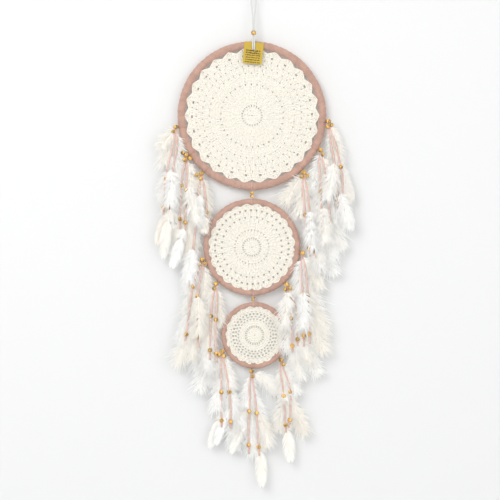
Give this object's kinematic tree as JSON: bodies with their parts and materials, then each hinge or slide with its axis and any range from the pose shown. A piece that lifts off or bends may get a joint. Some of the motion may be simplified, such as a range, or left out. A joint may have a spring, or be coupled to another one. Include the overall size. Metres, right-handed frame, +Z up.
{
  "type": "dream catcher",
  "caption": "Hanging wall ornament: suede-wrapped hoops one under another, each with a crocheted doily, and folded laces that carry beads and feathers.",
  "frame": {"origin": "hanging point, inside the top of the cord's loop, where the nail goes", "axes": "+Z up along the hanging line, +Y towards the wall through the thin depth, -Y the front, +X to the right seen from the front"},
  "size_m": [0.2735, 0.0251, 0.7191],
  "materials": {
    "cotton_cord": "twisted white cotton, matte",
    "label_card": "printed mustard card, matte",
    "hoop_rod": "bare rattan, inside the wrap",
    "suede_wrap": "dusty pink suede, napped",
    "crochet_cotton": "cream mercerised crochet cotton",
    "suede_lace": "pink suede lace, napped",
    "link_thread": "thin pink suede thread",
    "feather": "white and cream down and vane",
    "amber_bead": "amber gold, polished"
  },
  "bodies": {
    "hanger": {"hanging_cord": "cotton_cord", "cord_knot": "cotton_cord"},
    "hanger_bead": {"hanger_bead": "amber_bead"},
    "label": {"label_tag": "label_card"},
    "large_ring": {"large_hoop": "hoop_rod", "large_suede_wrap": "suede_wrap", "large_doily": "crochet_cotton", "large_lace_hitches": "suede_lace"},
    "middle_ring": {"middle_hoop": "hoop_rod", "middle_suede_wrap": "suede_wrap", "middle_doily": "crochet_cotton", "middle_lace_hitches": "suede_lace"},
    "small_ring": {"small_hoop": "hoop_rod", "small_suede_wrap": "suede_wrap", "small_doily": "crochet_cotton", "small_lace_hitches": "suede_lace"},
    "upper_link": {"upper_link_thread": "link_thread", "upper_link_beads": "amber_bead"},
    "lower_link": {"lower_link_thread": "link_thread", "lower_link_beads": "amber_bead"},
    "pendant_large_left_outer": {"large_left_outer_lace": "suede_lace", "large_left_outer_beads": "amber_bead", "large_left_outer_feathers": "feather"},
    "pendant_large_left_middle": {"large_left_middle_lace": "suede_lace", "large_left_middle_beads": "amber_bead", "large_left_middle_feathers": "feather"},
    "pendant_large_left_inner": {"large_left_inner_lace": "suede_lace", "large_left_inner_beads": "amber_bead", "large_left_inner_feathers": "feather"},
    "pendant_large_right_outer": {"large_right_outer_lace": "suede_lace", "large_right_outer_beads": "amber_bead", "large_right_outer_feathers": "feather"},
    "pendant_large_right_middle": {"large_right_middle_lace": "suede_lace", "large_right_middle_beads": "amber_bead", "large_right_middle_feathers": "feather"},
    "pendant_large_right_inner": {"large_right_inner_lace": "suede_lace", "large_right_inner_beads": "amber_bead", "large_right_inner_feathers": "feather"},
    "pendant_middle_left_outer": {"middle_left_outer_lace": "suede_lace", "middle_left_outer_beads": "amber_bead", "middle_left_outer_feathers": "feather"},
    "pendant_middle_left_inner": {"middle_left_inner_lace": "suede_lace", "middle_left_inner_beads": "amber_bead", "middle_left_inner_feathers": "feather"},
    "pendant_middle_right_outer": {"middle_right_outer_lace": "suede_lace", "middle_right_outer_beads": "amber_bead", "middle_right_outer_feathers": "feather"},
    "pendant_middle_right_inner": {"middle_right_inner_lace": "suede_lace", "middle_right_inner_beads": "amber_bead", "middle_right_inner_feathers": "feather"},
    "pendant_small_left": {"small_left_lace": "suede_lace", "small_left_beads": "amber_bead", "small_left_feathers": "feather"},
    "pendant_small_right": {"small_right_lace": "suede_lace", "small_right_beads": "amber_bead", "small_right_feathers": "feather"},
    "pendant_small_bottom": {"small_bottom_lace": "suede_lace", "small_bottom_beads": "amber_bead", "small_bottom_feathers": "feather"}
  },
  "joints": [
    {"name": "hanger_bead_slide", "type": "slide", "parent": "hanger", "child": "hanger_bead", "axis": [0, 0.1077, 0.9942], "range_m": [0, 0.006]},
    {"name": "label_swing", "type": "hinge", "parent": "hanger", "child": "label", "pos_m": [0, -0.0063, -0.08372], "axis": [0, 1, 0], "range_deg": [-35, 35]},
    {"name": "large_ring_swing", "type": "hinge", "parent": "hanger", "child": "large_ring", "pos_m": [0, 0, -0.078], "axis": [-1, 0, 0], "range_deg": [0, 8]},
    {"name": "upper_link_swing", "type": "hinge", "parent": "large_ring", "child": "upper_link", "pos_m": [-0.0025, 0, -0.2865], "axis": [-1, 0, 0], "range_deg": [0, 10]},
    {"name": "middle_ring_swing", "type": "hinge", "parent": "upper_link", "child": "middle_ring", "pos_m": [-0.0025, 0, -0.30905], "axis": [-1, 0, 0], "range_deg": [0, 15]},
    {"name": "lower_link_swing", "type": "hinge", "parent": "middle_ring", "child": "lower_link", "pos_m": [-0.0006, 0, -0.44382], "axis": [-1, 0, 0], "range_deg": [0, 10]},
    {"name": "small_ring_swing", "type": "hinge", "parent": "lower_link", "child": "small_ring", "pos_m": [-0.0006, 0, -0.46099], "axis": [-1, 0, 0], "range_deg": [0, 15]},
    {"name": "large_left_outer_swing", "type": "hinge", "parent": "large_ring", "child": "pendant_large_left_outer", "pos_m": [-0.11437, -0.00634, -0.19548], "axis": [-1, 0, 0], "range_deg": [0, 40]},
    {"name": "large_left_middle_swing", "type": "hinge", "parent": "large_ring", "child": "pendant_large_left_middle", "pos_m": [-0.09931, -0.00634, -0.23684], "axis": [-1, 0, 0], "range_deg": [0, 40]},
    {"name": "large_left_inner_swing", "type": "hinge", "parent": "large_ring", "child": "pendant_large_left_inner", "pos_m": [-0.07673, -0.00634, -0.26366], "axis": [-1, 0, 0], "range_deg": [0, 40]},
    {"name": "large_right_outer_swing", "type": "hinge", "parent": "large_ring", "child": "pendant_large_right_outer", "pos_m": [0.11055, -0.00634, -0.18704], "axis": [-1, 0, 0], "range_deg": [0, 40]},
    {"name": "large_right_middle_swing", "type": "hinge", "parent": "large_ring", "child": "pendant_large_right_middle", "pos_m": [0.09864, -0.00634, -0.22941], "axis": [-1, 0, 0], "range_deg": [0, 40]},
    {"name": "large_right_inner_swing", "type": "hinge", "parent": "large_ring", "child": "pendant_large_right_inner", "pos_m": [0.07385, -0.00634, -0.26195], "axis": [-1, 0, 0], "range_deg": [0, 40]},
    {"name": "middle_left_outer_swing", "type": "hinge", "parent": "middle_ring", "child": "pendant_middle_left_outer", "pos_m": [-0.07568, -0.00556, -0.39071], "axis": [-1, 0, 0], "range_deg": [0, 40]},
    {"name": "middle_left_inner_swing", "type": "hinge", "parent": "middle_ring", "child": "pendant_middle_left_inner", "pos_m": [-0.05541, -0.00556, -0.42609], "axis": [-1, 0, 0], "range_deg": [0, 40]},
    {"name": "middle_right_outer_swing", "type": "hinge", "parent": "middle_ring", "child": "pendant_middle_right_outer", "pos_m": [0.07228, -0.00556, -0.38075], "axis": [-1, 0, 0], "range_deg": [0, 40]},
    {"name": "middle_right_inner_swing", "type": "hinge", "parent": "middle_ring", "child": "pendant_middle_right_inner", "pos_m": [0.04898, -0.00556, -0.42728], "axis": [-1, 0, 0], "range_deg": [0, 40]},
    {"name": "small_left_swing", "type": "hinge", "parent": "small_ring", "child": "pendant_small_left", "pos_m": [-0.04613, -0.00516, -0.52584], "axis": [-1, 0, 0], "range_deg": [0, 40]},
    {"name": "small_right_swing", "type": "hinge", "parent": "small_ring", "child": "pendant_small_right", "pos_m": [0.04033, -0.00516, -0.53837], "axis": [-1, 0, 0], "range_deg": [0, 40]},
    {"name": "small_bottom_swing", "type": "hinge", "parent": "small_ring", "child": "pendant_small_bottom", "pos_m": [-0.00303, -0.00516, -0.55524], "axis": [-1, 0, 0], "range_deg": [0, 40]}
  ]
}
